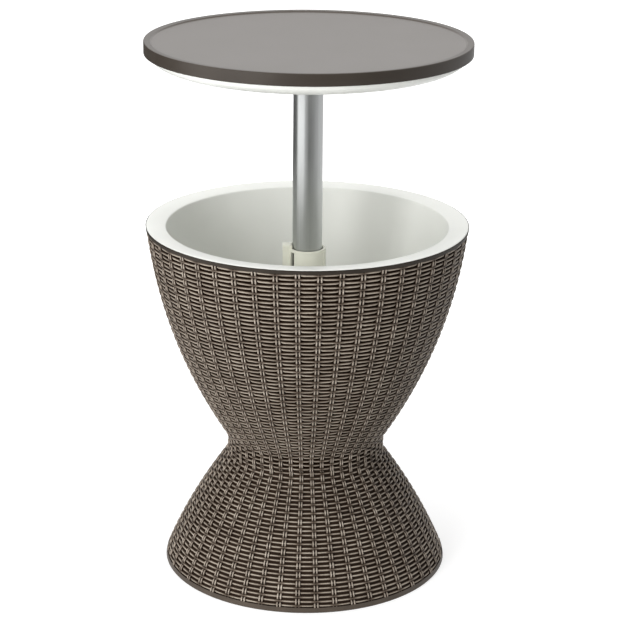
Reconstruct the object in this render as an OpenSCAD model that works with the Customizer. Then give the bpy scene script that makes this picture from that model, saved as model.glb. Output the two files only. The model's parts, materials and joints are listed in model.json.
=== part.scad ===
// Cooler bar table: a round table top on a pole that lowers onto a rattan-look tub on a flared base.
// The origin is at the centre of the foot, on the floor, with +Z up. The table is drawn raised and locked.

/* [Table top] */
// Height of the lip of the raised table above the floor
raised_h = 840; // [810:1:880]
// Radius of the table top
top_r = 247.5; // [235:0.5:260]
// Height of the brown band at the table's edge
band_h = 18.5; // [16:0.5:24]
// Width of the lip round the recessed tray
lip_w = 11; // [6:0.5:20]
// Depth of the recessed tray below the lip
tray_depth = 2.5; // [1:0.1:4]
// Wall of the table top
top_wall = 3.5; // [2.5:0.1:4]
// Radius of the rounding on the table's upper edge
edge_round = 2.5; // [1:0.1:3]
// Height of the stiffening ribs under the tray
rib_h = 8; // [5:0.5:8]
// Thickness of the stiffening ribs
rib_t = 2.5; // [2:0.1:4]
// Number of radial ribs and of screws through the underside
rib_count = 6; // [4:1:8]
// Radius on which the underside's screws stand
under_pcr = 150; // [120:1:165]

/* [Table underside] */
// Depth of the white underside below the brown band
dish_h = 21; // [18:0.5:24]
// Distance of the white underside's edge from the edge of the table
dish_inset = 7.5; // [6.5:0.5:11]
// Radial width of the underside's rounded corner
dish_corner = 50; // [40:1:60]
// Wall of the underside
dish_wall = 2.5; // [2:0.1:3]
// Height of the rim by which the underside sits in the table top
dish_spigot_h = 3; // [2:0.5:5]
// Length of the underside's screws above the underside
under_screw_len = 16; // [12:1:17]

/* [Pole] */
// Outer radius of the pole
pole_r = 23; // [21:0.1:24]
// Wall of the pole
pole_wall = 1.5; // [1:0.1:2]
// Wall of the socket that holds the pole
cup_wall = 6.5; // [5:0.5:8]
// Height of the socket's cross pin above the underside
socket_pin_h = 12; // [8:0.5:14]
// How far the table goes down to close the tub
lift_travel = 250; // [150:1:250]
// Length of pole that stays in the column when the table is up
pole_overlap = 85; // [70:1:120]
// How far the pole's end plug reaches up the pole
plug_depth = 40; // [30:1:60]
// Radius of the end plug's stem
stem_r = 9; // [7:0.1:10]
// Height of the lock bush
bush_h = 14.5; // [10:0.5:20]
// Height of the lock cam
cam_h = 11; // [8:0.5:16]
// Length of the screw that holds the lock cam
cam_screw_len = 22; // [18:1:26]
// Thickness of the washer under the lock cam
cam_washer_t = 1.6; // [1:0.1:2]
// How far the lock cam stands off the pole's axis
cam_throw = 2; // [1:0.1:2]
// Radius of the cross pins through the pole
pin_r = 2; // [1.5:0.1:3]

/* [Column] */
// How far the top of the column lies below the tub's rim
column_drop = 40.4; // [36:0.1:60]
// Outer radius of the column
sleeve_r = 29; // [28.6:0.1:32]
// Thickness of the cap on the column
cap_h = 4; // [3:0.5:6]
// Height of the keyway housing above the cap
housing_rise = 5; // [3:0.5:8]
// Distance of the keyway housing's outer face from the axis
housing_reach = 38; // [37:0.5:39]
// Width of the keyway housing
housing_w = 17; // [15:0.5:20]
// Width of the key in the lock bush
key_w = 9.4; // [8:0.1:11]
// Wall of the keyway housing
housing_wall = 2; // [1.5:0.1:2.5]
// Wall of the pole guide
guide_wall = 1.9; // [1.4:0.1:2]
// Length of the pole guide
guide_len = 46; // [30:1:60]
// Width of the upright slot beside the keyway housing
slot_w = 9; // [6:0.5:10]
// Length of the upright slot
slot_len = 40; // [20:1:44]
// Direction of the slot from the axis, in degrees
slot_angle = 217; // [214:1:225]
// Width of the slim rib at the front right of the column
column_rib_w = 4; // [3:0.5:6]
// Direction of the slim rib from the axis, in degrees
column_rib_angle = -28; // [-40:1:-20]
// Radius of the column's flange on the tub floor
flange_r = 52; // [51:0.5:54]
// Thickness of the column's flange
flange_t = 5; // [4:0.5:8]
// Radius on which the column's screws stand
sleeve_pcr = 45; // [44.5:0.1:46]
// Number of screws through the column's flange
sleeve_screw_count = 6; // [4:2:6]
// Direction of the first of them, in degrees
sleeve_screw_angle = 30; // [25:1:35]

/* [Tub] */
// Height of the tub's rim above the floor, at its outer edge
rim_h = 555.4; // [545:0.1:558]
// How far the rim stays back from the bowl's outer edge, which stands round it
rim_step = 2; // [1.2:0.1:3]
// Thickness of the rim over the shell's ledge
rim_t = 4; // [3:0.1:6]
// How far the rim's inner edge lies below its outer edge
rim_slope = 2.9; // [1:0.1:3.5]
// Width of the rim, from the tub's mouth to its outer edge
rim_w = 29; // [26:0.1:34]
// Wall of the tub
tub_wall = 3; // [2:0.1:4]
// Height of the tub's floor above the ground, inside
floor_h = 235; // [232:1:250]
// Radius of the tub's floor
floor_r = 103; // [101:0.5:106]
// How far the tub's wall bulges out from a straight line
tub_bulge = 19.5; // [16:0.1:22]
// Thickness of the tub's floor
floor_t = 4; // [3:0.5:6]
// Size of the fillet between the tub's floor and wall
tub_fillet = 10; // [6:0.5:12]
// Number of posts and screws that hold the shells and the tub together
post_count = 4; // [3:1:6]
// Radius of a post
post_r = 7; // [6:0.5:8]
// Distance of the posts' axes outside the tub's wall
post_offset = 3; // [2:0.5:5]
// Direction of the first post, in degrees
post_angle = 45; // [40:1:50]

/* [Shells] */
// Height of the seam between base and body shell
seam_h = 190; // [186:1:194]
// Radius of the neck between the shells
neck_r = 124; // [122:0.5:130]
// Softness of the bends above and below the neck
neck_soft = 2.7; // [1:0.1:4]
// Radius of the bowl's side at the ledge the rim lies on
bowl_r = 248.5; // [244:0.5:256]
// How far the bowl's outer edge stands above that ledge
edge_h = 3.3; // [1:0.1:3.8]
// Height of the plain band at the bowl's upper edge
top_band_h = 6; // [4:0.5:10]
// Radius the bowl's side would have at the seam without the neck
bowl_low_r = 110; // [106:0.5:114]
// How far the bowl's side bulges out from a straight line
bowl_bulge = 24.7; // [20:0.1:30]
// Wall of both shells
shell_wall = 5; // [4:0.1:6]
// Thickness of the flanges where the shells meet
waist_t = 4; // [3:0.5:6]
// Width of the waist flanges inside the posts' axes
waist_edge = 14; // [12:0.5:16]

/* [Weave] */
// How far the shells lie back between the pairs of upright strands
weave_depth = 2; // [1:0.1:2.5]
// Number of pairs of upright strands round each shell
stake_count = 48; // [24:4:60]
// Width of a pair of upright strands
stake_w = 8; // [6:0.5:10]
// Direction of the bowl's first pair, in degrees
bowl_weave_angle = 4.45; // [0:0.01:7.5]
// Direction of the base's first pair, in degrees
base_weave_angle = 4.87; // [0:0.01:7.5]

/* [Base] */
// Radius of the foot on the floor
foot_r = 224.6; // [215:0.1:235]
// Height of the plain band round the foot
foot_h = 12; // [8:0.5:16]
// Draft of the foot band, on the radius
foot_draft = 2.7; // [1:0.1:4]
// Radius the base's side would have at the seam without the neck
cone_top_r = 117; // [112:0.5:120]
// How far the base's side bulges out from a straight line
cone_bulge = 6.3; // [3:0.1:10]
// Width of the turned-in edge that stands on the floor
foot_w = 12; // [8:0.5:16]

/* [Column brace] */
// Thickness of the brace's ring under the waist flanges
brace_t = 4; // [3:0.5:6]
// Height of the hub that steadies the column
hub_h = 14; // [10:0.5:20]
// Wall of the hub
hub_wall = 6; // [4:0.5:8]
// Thickness of the spokes to the hub
spoke_t = 7; // [5:0.5:10]
// Number of spokes
spoke_count = 4; // [3:1:8]
// Wall of the collar that centres both shells
register_w = 3; // [2:0.5:4]
// How far the collar stands above the waist flanges
register_h = 2; // [1:0.5:4]

/* [Drain] */
// Distance of the drain's axis from the tub's wall
drain_inset = 27; // [26:0.5:30]
// Direction of the drain from the axis, in degrees
drain_angle = 45; // [40:1:50]
// Outer radius of the drain spout
spout_r = 10; // [9:0.1:10.5]
// Bore radius of the drain spout
spout_bore_r = 7.6; // [6.8:0.1:8]
// Length of the spout below the tub's floor
spout_len = 26; // [20:1:40]
// Radius of the spout's flange
spout_flange_r = 15; // [14:0.1:16]
// Thickness of the spout's flange
spout_flange_t = 3; // [2:0.1:4]
// Thickness of the drain nut
nut_t = 8; // [6:0.5:10]
// Radius of the drain nut over its corners
nut_r = 17; // [16:0.5:18]
// Thickness of the plug's cap
plug_cap_t = 4; // [3:0.5:6]
// Height of the plug's knob
knob_h = 10; // [8:0.5:14]
// Length of the plug below its cap
plug_len = 18; // [14:0.5:24]
// Radius of the section of the plug's ring
ring_thick_r = 1; // [0.8:0.1:1.2]

/* [Fasteners and fits] */
// Radius of the small screws' shanks
screw_r = 2; // [1.5:0.1:2.2]
// Radius of the small screws' heads
screw_head_r = 4.5; // [4:0.1:5]
// Height of the small screws' heads
screw_head_h = 2.6; // [2:0.1:3]
// Radius of the frame screws' shanks
frame_screw_r = 2.5; // [2:0.1:3]
// Material left above the ends of the frame screws
post_end = 9; // [6:0.5:14]
// Thickness of the flat seals
seal_t = 1.5; // [1:0.1:2]
// Clearance round pins, screws and pieces that are pushed into each other
fit_gap = 0.1; // [0.05:0.01:0.15]
// Clearance between pieces that move on each other
run_gap = 0.3; // [0.2:0.05:0.4]
// Clearance between large moulded pieces
mould_gap = 0.3; // [0.2:0.05:0.5]
// Clearance round a screw where it isn't threaded
hole_gap = 0.4; // [0.3:0.05:0.5]

/* [Hidden] */
$fn = 180;
// How far a cut runs past a wall, and a rib into the piece it belongs to
over = 1;
// Number of straight steps along each curved side inside
side_steps = 30;
// Number of straight steps along each shell's outside, and how they crowd towards the neck
weave_steps = 12;
weave_crowd = 1.6;
// How far the uprights lie under the shells' outermost faces, how far they run into the wall,
// and how far from the seam they end
stake_drop = 0.15;
stake_root = 1.2;
stake_gap = 0.5;
// Number of steps in a small fillet
fillet_steps = 6;

// Levels of the table
band_z = raised_h - band_h;
tray_z = raised_h - tray_depth;
plate_z = tray_z - top_wall;
dish_z = band_z - dish_h;
dish_in_z = dish_z + dish_wall;
dish_r = top_r - dish_inset;
// The central pad under the tray, which takes the socket's screws
pad_h = 8;
pad_z = plate_z - pad_h;
pad_r = 52;
cup_r = pole_r + cup_wall;
socket_flange_t = 4;
socket_pcr = 41;
socket_screw_count = 4;
socket_screw_angle = 45;
socket_pin_z = dish_in_z + socket_pin_h;
// Material left above the pole's end and above the screws' holes
end_wall = 3;
pole_top_z = plate_z - end_wall;
boss_r = 6;
lip_draft = 1;
rib_end_gap = 3;

// Levels of the column
column_z = rim_h - column_drop;
cap_z = column_z - cap_h;
pole_z = column_z - pole_overlap;
cam_pin_z = pole_z + plug_depth / 2;
plug_flange_t = 4;
bush_top_z = pole_z - plug_flange_t - run_gap;
bush_z = bush_top_z - bush_h;
cam_top_z = bush_z - run_gap;
cam_z = cam_top_z - cam_h;
cam_screw_head_h = 5;
cam_screw_head_r = 7;
cam_washer_r = stem_r + 3;
// How far the cross pins' ends lie under the surface
pin_inset = 0.5;
sleeve_tail = 4;
sleeve_z = cam_z - lift_travel - sleeve_tail;
guide_in_r = pole_r + run_gap;
guide_out_r = guide_in_r + guide_wall;
guide_seat_r = guide_out_r + fit_gap;
guide_z = cap_z - guide_len;
// The bore is narrower than the guide's seat, which leaves a ledge for the guide
guide_ledge = 0.9;
sleeve_bore_r = guide_seat_r - guide_ledge;
bush_r = sleeve_bore_r - run_gap;
key_reach = housing_reach - housing_wall - run_gap;
key_root_r = stem_r + 2;
keyway_w = key_w + 2 * run_gap;
cam_r = bush_r - cam_throw - run_gap;
column_flange_z = floor_h + seal_t;
sleeve_boss_h = 9;
sleeve_boss_r = 5;
sleeve_screw_len = 16;
sleeve_grip = sleeve_screw_len - floor_t - seal_t;
column_rib_rise = 1;
column_rib_root = 2;

// Levels and arcs of the shells
shell_top_z = rim_h - rim_t;
rim_r = bowl_r - rim_step;
edge_z = shell_top_z + edge_h;
edge_in_r = rim_r + mould_gap;
top_band_z = edge_z - top_band_h;
bowl_low = [bowl_low_r, seam_h];
bowl_high = [bowl_r, shell_top_z];
bowl_arc = bulge_r(bowl_low, bowl_high, bowl_bulge);
bowl_mid = bulge_mid(bowl_low, bowl_high, bowl_bulge);
cone_low = [foot_r - foot_draft, foot_h];
cone_high = [cone_top_r, seam_h];
cone_arc = bulge_r(cone_low, cone_high, cone_bulge);
cone_mid = bulge_mid(cone_low, cone_high, cone_bulge);
spigot_w = 3;
spigot_h = 8;
rim_in_z = rim_h - rim_slope;
rim_edge = 1.2;
mouth_r = rim_r - rim_w;
tub_low = [floor_r, floor_h];
tub_high = [mouth_r, rim_in_z];
tub_arc = bulge_r(tub_low, tub_high, tub_bulge);
tub_mid = bulge_mid(tub_low, tub_high, tub_bulge);
post_pcr = floor_r + post_offset;
waist_in_r = post_pcr - waist_edge;

// The brace under the waist
frame_head_r = 6;
frame_head_h = 4;
brace_margin = 2;
brace_r = post_pcr + frame_head_r + brace_margin;
brace_top_z = seam_h - waist_t;
brace_z = brace_top_z - brace_t;
hub_z = brace_top_z - hub_h;
frame_screw_len = floor_h - floor_t - post_end - brace_z;
collar_r = waist_in_r - mould_gap;

// The drain
spout_seat_z = floor_h + seal_t;
spout_top_z = spout_seat_z + spout_flange_t;
drain_at = floor_r - drain_inset;
plug_play = 0.7;
plug_r = spout_bore_r - plug_play;
// The ring stands proud of the plug, clear of the bore
ring_mid_r = spout_bore_r - run_gap - ring_thick_r;
ring_z = floor_h - 5;
plug_cap_r = 12;
knob_r = 5;
knob_top_r = 8;
knob_top_t = 3;
gasket_inset = 0.5;

// Radius and centre of the arc from a lower to an upper point that bulges out from their chord
function bulge_r(a, b, bulge) = (norm(b - a) * norm(b - a) / 4 + bulge * bulge) / (2 * bulge);
function bulge_mid(a, b, bulge) = (a + b) / 2
    + (bulge_r(a, b, bulge) - bulge) / norm(b - a) * [a[1] - b[1], b[0] - a[0]];
function arc_r(z, mid, rad) = mid[0] + sqrt(rad * rad - (z - mid[1]) * (z - mid[1]));
function soft_past(u) = (u + sqrt(u * u + neck_soft * neck_soft)) / 2;
function soft_neck(r) = neck_r + soft_past(r - neck_r);
function bowl_at(z) = soft_neck(arc_r(z, bowl_mid, bowl_arc));
function cone_at(z) = soft_neck(arc_r(z, cone_mid, cone_arc));
function tub_at(z) = arc_r(z, tub_mid, tub_arc);
function tub_out_at(z) = arc_r(z, tub_mid, tub_arc + tub_wall);
// Level at which the tub's inside has a radius
function tub_z(r) = tub_mid[1] - sqrt(tub_arc * tub_arc - (r - tub_mid[0]) * (r - tub_mid[0]));
function step(a, b, i, n) = a + (b - a) * i / n;
// The sides of the bowl and of the base between a level near the seam and the end of the weave, upwards
function weave_z(start, end, i) = start + (end - start) * pow(i / weave_steps, weave_crowd);
function bowl_side(start) = [for (i = [0:weave_steps]) let (z = weave_z(start, top_band_z, i)) [bowl_at(z), z]];
function base_side(start) = [for (i = [weave_steps:-1:0]) let (z = weave_z(start, foot_h, i)) [cone_at(z), z]];
// A point on the curve that leaves a towards b and ends at c
function bend(a, b, c, t) = (1 - t) * (1 - t) * a + 2 * t * (1 - t) * b + t * t * c;

// Puts its children round the axis, count times
module ring_of(count, r, start = 0) {
    for (i = [0:count - 1])
        rotate(start + i * 360 / count)
            translate([r, 0, 0])
                children();
}

// Outline of the column with its keyway housing, grown by extra
module sleeve_outline(extra) {
    circle(r = sleeve_r + extra);
    translate([-housing_reach - extra, -housing_w / 2 - extra])
        square([housing_reach + extra, housing_w + 2 * extra]);
}

// A screw that points up, with the underside of its head at z = 0
module screw(r, length, head_r, head_h) {
    translate([0, 0, -head_h])
        cylinder(r = r, h = length + head_h);
    translate([0, 0, -head_h])
        cylinder(r = head_r, h = head_h);
}

// The pairs of upright strands on a shell, from the outer side of their section, upwards
module stakes(side, angle) {
    back = [for (i = [len(side) - 1:-1:0]) side[i] - [weave_depth + stake_root, 0]];
    front = [for (p = side) p - [stake_drop, 0]];
    ring_of(stake_count, 0, angle)
        rotate([90, 0, 0])
            translate([0, 0, -stake_w / 2])
                linear_extrude(stake_w)
                    polygon(concat(front, back));
}

// Clearance holes for the frame screws, from a level up
module frame_holes(z, depth) {
    ring_of(post_count, post_pcr, post_angle)
        translate([0, 0, z - over])
            cylinder(r = frame_screw_r + hole_gap, h = depth + 2 * over, $fn = 48);
}

module base_shell() {
    side = base_side(seam_h);
    inner = [for (i = [0:side_steps])
        let (z = step(brace_top_z, foot_h, i, side_steps)) [cone_at(z) - shell_wall, z]];
    color("#6f655c")
    difference() {
        union() {
            rotate_extrude()
                polygon(concat(
                    [[foot_r - foot_w, 0], [foot_r, 0], side[0]],
                    [for (p = side) p - [weave_depth, 0]],
                    [[waist_in_r, seam_h], [waist_in_r, brace_top_z]],
                    inner,
                    [[foot_r - shell_wall, waist_t], [foot_r - foot_w, waist_t]]
                ));
            stakes(base_side(seam_h - stake_gap), base_weave_angle);
        }
        frame_holes(brace_top_z, waist_t);
    }
}

module column_brace() {
    collar_top_z = seam_h + waist_t + register_h;
    spoke_len = collar_r - register_w / 2 - housing_reach - hub_wall / 2;
    color("#6f655c")
    difference() {
        union() {
            // Ring under the waist flanges, with the collar that centres both shells
            rotate_extrude()
                polygon([
                    [collar_r - register_w, brace_z], [brace_r, brace_z], [brace_r, brace_top_z],
                    [collar_r, brace_top_z], [collar_r, collar_top_z], [collar_r - register_w, collar_top_z]
                ]);
            // Hub and spokes that steady the column
            translate([0, 0, hub_z])
                cylinder(r = housing_reach + hub_wall, h = hub_h);
            for (i = [0:spoke_count - 1])
                rotate(i * 360 / spoke_count)
                    translate([housing_reach + hub_wall / 2, -spoke_t / 2, hub_z])
                        cube([spoke_len, spoke_t, hub_h]);
        }
        translate([0, 0, hub_z - over])
            linear_extrude(hub_h + 2 * over)
                sleeve_outline(mould_gap);
        frame_holes(brace_z, brace_t);
    }
}

module body_shell() {
    side = bowl_side(seam_h);
    inner = [for (i = [0:side_steps])
        let (z = step(shell_top_z, seam_h + waist_t, i, side_steps)) [bowl_at(z) - shell_wall, z]];
    color("#6f655c")
    difference() {
        union() {
            rotate_extrude()
                polygon(concat(
                    [for (p = side) p - [weave_depth, 0]],
                    [
                        side[weave_steps], [bowl_at(edge_z), edge_z],
                        [edge_in_r, edge_z], [edge_in_r, shell_top_z]
                    ],
                    inner,
                    [[waist_in_r, seam_h + waist_t], [waist_in_r, seam_h]]
                ));
            stakes(bowl_side(seam_h + stake_gap), bowl_weave_angle);
        }
        frame_holes(seam_h, waist_t);
    }
}

// The section of the tub's inside, from the floor's middle to the mouth
function tub_inside() = let (
        up_z = floor_h + tub_fillet,
        start = [floor_r - tub_fillet, floor_h],
        corner = [floor_r, floor_h],
        end = [tub_at(up_z), up_z]
    ) concat(
        [for (i = [0:fillet_steps]) bend(start, corner, end, i / fillet_steps)],
        [for (i = [1:side_steps])
            let (z = step(up_z, rim_in_z - 2 * rim_edge, i, side_steps)) [tub_at(z), z]]
    );

module cooler_tub() {
    under_z = floor_h - floor_t;
    skirt_z = shell_top_z - spigot_h;
    skirt_r = bowl_at(skirt_z) - shell_wall - mould_gap;
    post_z = seam_h + waist_t;
    post_h = tub_z(post_pcr + post_r) - post_z;
    grip = frame_screw_len - brace_t - 2 * waist_t;
    outside = [for (i = [0:side_steps])
        let (z = step(rim_in_z - rim_t, under_z, i, side_steps)) [tub_out_at(z), z]];
    color("#e9eae6")
    difference() {
        union() {
            rotate_extrude()
                polygon(concat(
                    [[0, floor_h]],
                    tub_inside(),
                    [
                        [mouth_r + rim_edge, rim_in_z],
                        [rim_r - rim_edge, rim_h],
                        [rim_r, rim_h - rim_edge],
                        [rim_r, shell_top_z],
                        [bowl_at(shell_top_z) - shell_wall - mould_gap, shell_top_z],
                        [skirt_r, skirt_z],
                        [skirt_r - spigot_w, skirt_z],
                        [skirt_r - spigot_w, shell_top_z - rim_slope]
                    ],
                    outside,
                    [[0, under_z]]
                ));
            // Posts that stand on the body shell's flange
            difference() {
                ring_of(post_count, post_pcr, post_angle)
                    translate([0, 0, post_z])
                        cylinder(r = post_r, h = post_h, $fn = 64);
                rotate_extrude()
                    polygon(concat([[0, floor_h]], tub_inside(), [[0, rim_in_z]]));
            }
        }
        translate([0, 0, under_z - over])
            linear_extrude(floor_t + 2 * over)
                sleeve_outline(mould_gap);
        ring_of(sleeve_screw_count, sleeve_pcr, sleeve_screw_angle)
            translate([0, 0, under_z - over])
                cylinder(r = screw_r + hole_gap, h = floor_t + 2 * over, $fn = 48);
        ring_of(1, drain_at, drain_angle)
            translate([0, 0, under_z - over])
                cylinder(r = spout_r + fit_gap, h = floor_t + 2 * over, $fn = 64);
        ring_of(post_count, post_pcr, post_angle)
            translate([0, 0, post_z - over])
                cylinder(r = frame_screw_r + fit_gap, h = grip + 2 * over, $fn = 48);
    }
}

module column_sleeve() {
    color("#e4e2d4")
    difference() {
        union() {
            translate([0, 0, sleeve_z])
                linear_extrude(cap_z - sleeve_z)
                    sleeve_outline(0);
            translate([0, 0, column_flange_z])
                cylinder(r = flange_r, h = flange_t);
            ring_of(sleeve_screw_count, sleeve_pcr, sleeve_screw_angle)
                translate([0, 0, column_flange_z])
                    cylinder(r = sleeve_boss_r, h = flange_t + sleeve_boss_h, $fn = 64);
            // Slim upright rib at the front right
            rotate(column_rib_angle)
                translate([sleeve_r - column_rib_root, -column_rib_w / 2, column_flange_z])
                    cube([column_rib_root + column_rib_rise, column_rib_w, cap_z - column_flange_z]);
        }
        translate([0, 0, sleeve_z - over])
            cylinder(r = sleeve_bore_r, h = cap_z - sleeve_z + 2 * over);
        translate([0, 0, guide_z])
            cylinder(r = guide_seat_r, h = guide_len + over);
        translate([-housing_reach + housing_wall, -keyway_w / 2, sleeve_z - over])
            cube([housing_reach - housing_wall, keyway_w, cap_z - sleeve_z + 2 * over]);
        rotate(slot_angle)
            translate([sleeve_bore_r - over, -slot_w / 2, cap_z - slot_len])
                cube([sleeve_r, slot_w, slot_len + over]);
        ring_of(sleeve_screw_count, sleeve_pcr, sleeve_screw_angle)
            translate([0, 0, column_flange_z - over])
                cylinder(r = screw_r + fit_gap, h = sleeve_grip + 2 * over, $fn = 48);
    }
}

module column_cap() {
    color("#e4e2d4")
    difference() {
        union() {
            translate([0, 0, cap_z])
                cylinder(r = sleeve_r, h = cap_h);
            translate([-housing_reach, -housing_w / 2, cap_z])
                cube([housing_reach - pole_r, housing_w, cap_h + housing_rise]);
        }
        translate([0, 0, cap_z - over])
            cylinder(r = guide_in_r, h = cap_h + housing_rise + 2 * over);
    }
}

module pole_guide() {
    color("#3a3833")
    difference() {
        translate([0, 0, guide_z])
            cylinder(r = guide_out_r, h = guide_len);
        translate([0, 0, guide_z - over])
            cylinder(r = guide_in_r, h = guide_len + 2 * over);
        // Its keyway, so that the guide can't turn and the bush's key could pass
        translate([-housing_reach, -keyway_w / 2, guide_z - over])
            cube([housing_reach, keyway_w, guide_len + 2 * over]);
    }
}

module sleeve_seal() {
    color("#2c2c2c")
    translate([0, 0, floor_h])
        linear_extrude(seal_t)
            difference() {
                circle(r = flange_r - gasket_inset);
                sleeve_outline(mould_gap);
                ring_of(sleeve_screw_count, sleeve_pcr, sleeve_screw_angle)
                    circle(r = screw_r + hole_gap, $fn = 48);
            }
}

module sleeve_screws() {
    color("#b8b8b8")
    ring_of(sleeve_screw_count, sleeve_pcr, sleeve_screw_angle)
        translate([0, 0, floor_h - floor_t])
            screw(screw_r, sleeve_screw_len, screw_head_r, screw_head_h, $fn = 48);
}

module frame_screws() {
    color("#b8b8b8")
    ring_of(post_count, post_pcr, post_angle)
        translate([0, 0, brace_z])
            screw(frame_screw_r, frame_screw_len, frame_head_r, frame_head_h, $fn = 48);
}

// Puts its children on the drain's axis
module at_drain() {
    ring_of(1, drain_at, drain_angle)
        children();
}

module drain_bush() {
    spout_z = floor_h - floor_t - spout_len;
    color("#e4e2d4")
    at_drain()
        difference() {
            union() {
                translate([0, 0, spout_seat_z])
                    cylinder(r = spout_flange_r, h = spout_flange_t, $fn = 72);
                translate([0, 0, spout_z])
                    cylinder(r = spout_r, h = spout_top_z - spout_z, $fn = 72);
            }
            translate([0, 0, spout_z - over])
                cylinder(r = spout_bore_r, h = spout_top_z - spout_z + 2 * over, $fn = 72);
        }
}

module drain_gasket() {
    color("#2c2c2c")
    at_drain()
        translate([0, 0, floor_h])
            difference() {
                cylinder(r = spout_flange_r - gasket_inset, h = seal_t, $fn = 72);
                translate([0, 0, -over])
                    cylinder(r = spout_r + fit_gap, h = seal_t + 2 * over, $fn = 72);
            }
}

module drain_nut() {
    color("#e4e2d4")
    at_drain()
        translate([0, 0, floor_h - floor_t - nut_t])
            difference() {
                cylinder(r = nut_r, h = nut_t, $fn = 6);
                translate([0, 0, -over])
                    cylinder(r = spout_r + fit_gap, h = nut_t + 2 * over, $fn = 72);
            }
}

module drain_plug() {
    cap_seat_z = spout_top_z + run_gap;
    knob_z = cap_seat_z + plug_cap_t;
    color("#e4e2d4")
    at_drain()
        difference() {
            union() {
                translate([0, 0, cap_seat_z - plug_len])
                    cylinder(r = plug_r, h = plug_len + plug_cap_t, $fn = 72);
                translate([0, 0, cap_seat_z])
                    cylinder(r = plug_cap_r, h = plug_cap_t, $fn = 72);
                translate([0, 0, cap_seat_z])
                    cylinder(r = knob_r, h = plug_cap_t + knob_h, $fn = 72);
                translate([0, 0, knob_z + knob_h - knob_top_t])
                    cylinder(r = knob_top_r, h = knob_top_t, $fn = 72);
            }
            // Groove for the ring
            translate([0, 0, ring_z])
                rotate_extrude($fn = 72)
                    translate([ring_mid_r, 0])
                        circle(r = ring_thick_r + fit_gap, $fn = 32);
        }
}

module plug_ring() {
    color("#2c2c2c")
    at_drain()
        translate([0, 0, ring_z])
            rotate_extrude($fn = 72)
                translate([ring_mid_r, 0])
                    circle(r = ring_thick_r, $fn = 32);
}

module lock_bush() {
    color("#d0d0cc")
    difference() {
        union() {
            translate([0, 0, bush_z])
                cylinder(r = bush_r, h = bush_h);
            translate([-key_reach, -key_w / 2, bush_z])
                cube([key_reach - key_root_r, key_w, bush_h]);
        }
        translate([0, 0, bush_z - over])
            cylinder(r = stem_r + run_gap, h = bush_h + 2 * over, $fn = 96);
    }
}

module pole() {
    color("#a8aaab")
    difference() {
        translate([0, 0, pole_z])
            cylinder(r = pole_r, h = pole_top_z - pole_z);
        translate([0, 0, pole_z - over])
            cylinder(r = pole_r - pole_wall, h = pole_top_z - pole_z + 2 * over);
        cross_pin(cam_pin_z, 2 * pole_r + 2 * over, pin_r + fit_gap);
        cross_pin(socket_pin_z, 2 * pole_r + 2 * over, pin_r + fit_gap);
    }
}

// A rod through the pole's axis, along X
module cross_pin(z, length, r) {
    translate([-length / 2, 0, z])
        rotate([0, 90, 0])
            cylinder(r = r, h = length, $fn = 48);
}

module pole_end_plug() {
    color("#d0d0cc")
    difference() {
        union() {
            translate([0, 0, pole_z])
                cylinder(r = pole_r - pole_wall - fit_gap, h = plug_depth);
            translate([0, 0, pole_z - plug_flange_t])
                cylinder(r = pole_r, h = plug_flange_t);
            translate([0, 0, cam_z])
                cylinder(r = stem_r, h = pole_z - cam_z, $fn = 96);
        }
        cross_pin(cam_pin_z, 2 * pole_r, pin_r + fit_gap);
        translate([0, 0, cam_z - over])
            cylinder(r = frame_screw_r + fit_gap, h = cam_screw_len + 2 * over, $fn = 48);
    }
}

module lock_cam() {
    color("#3a3833")
    translate([0, 0, cam_z])
        difference() {
            translate([0, cam_throw, 0])
                cylinder(r = cam_r, h = cam_h);
            translate([0, 0, -over])
                cylinder(r = stem_r + fit_gap, h = cam_h + 2 * over, $fn = 96);
        }
}

module cam_screw() {
    color("#b8b8b8")
    union() {
        translate([0, 0, cam_z])
            screw(frame_screw_r, cam_screw_len, cam_screw_head_r, cam_screw_head_h, $fn = 48);
        translate([0, 0, cam_z - cam_washer_t])
            cylinder(r = cam_washer_r, h = cam_washer_t, $fn = 72);
    }
}

module cam_pin() {
    color("#b8b8b8")
    cross_pin(cam_pin_z, 2 * (pole_r - pin_inset), pin_r);
}

module pole_socket() {
    color("#d0d0cc")
    difference() {
        union() {
            translate([0, 0, dish_in_z])
                cylinder(r = cup_r, h = plate_z - dish_in_z);
            translate([0, 0, pad_z - socket_flange_t])
                cylinder(r = pad_r, h = socket_flange_t);
        }
        translate([0, 0, dish_in_z - over])
            cylinder(r = pole_r + fit_gap, h = pole_top_z - dish_in_z + over + fit_gap);
        cross_pin(socket_pin_z, 2 * cup_r + 2 * over, pin_r + fit_gap);
        ring_of(socket_screw_count, socket_pcr, socket_screw_angle)
            translate([0, 0, pad_z - socket_flange_t - over])
                cylinder(r = screw_r + fit_gap, h = socket_flange_t + 2 * over, $fn = 48);
    }
}

module socket_pin() {
    color("#b8b8b8")
    cross_pin(socket_pin_z, 2 * (cup_r - pin_inset), pin_r);
}

module socket_screws() {
    color("#b8b8b8")
    ring_of(socket_screw_count, socket_pcr, socket_screw_angle)
        translate([0, 0, pad_z - socket_flange_t])
            screw(screw_r, socket_flange_t + pad_h - 2 * over, screw_head_r, screw_head_h, $fn = 48);
}

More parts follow.
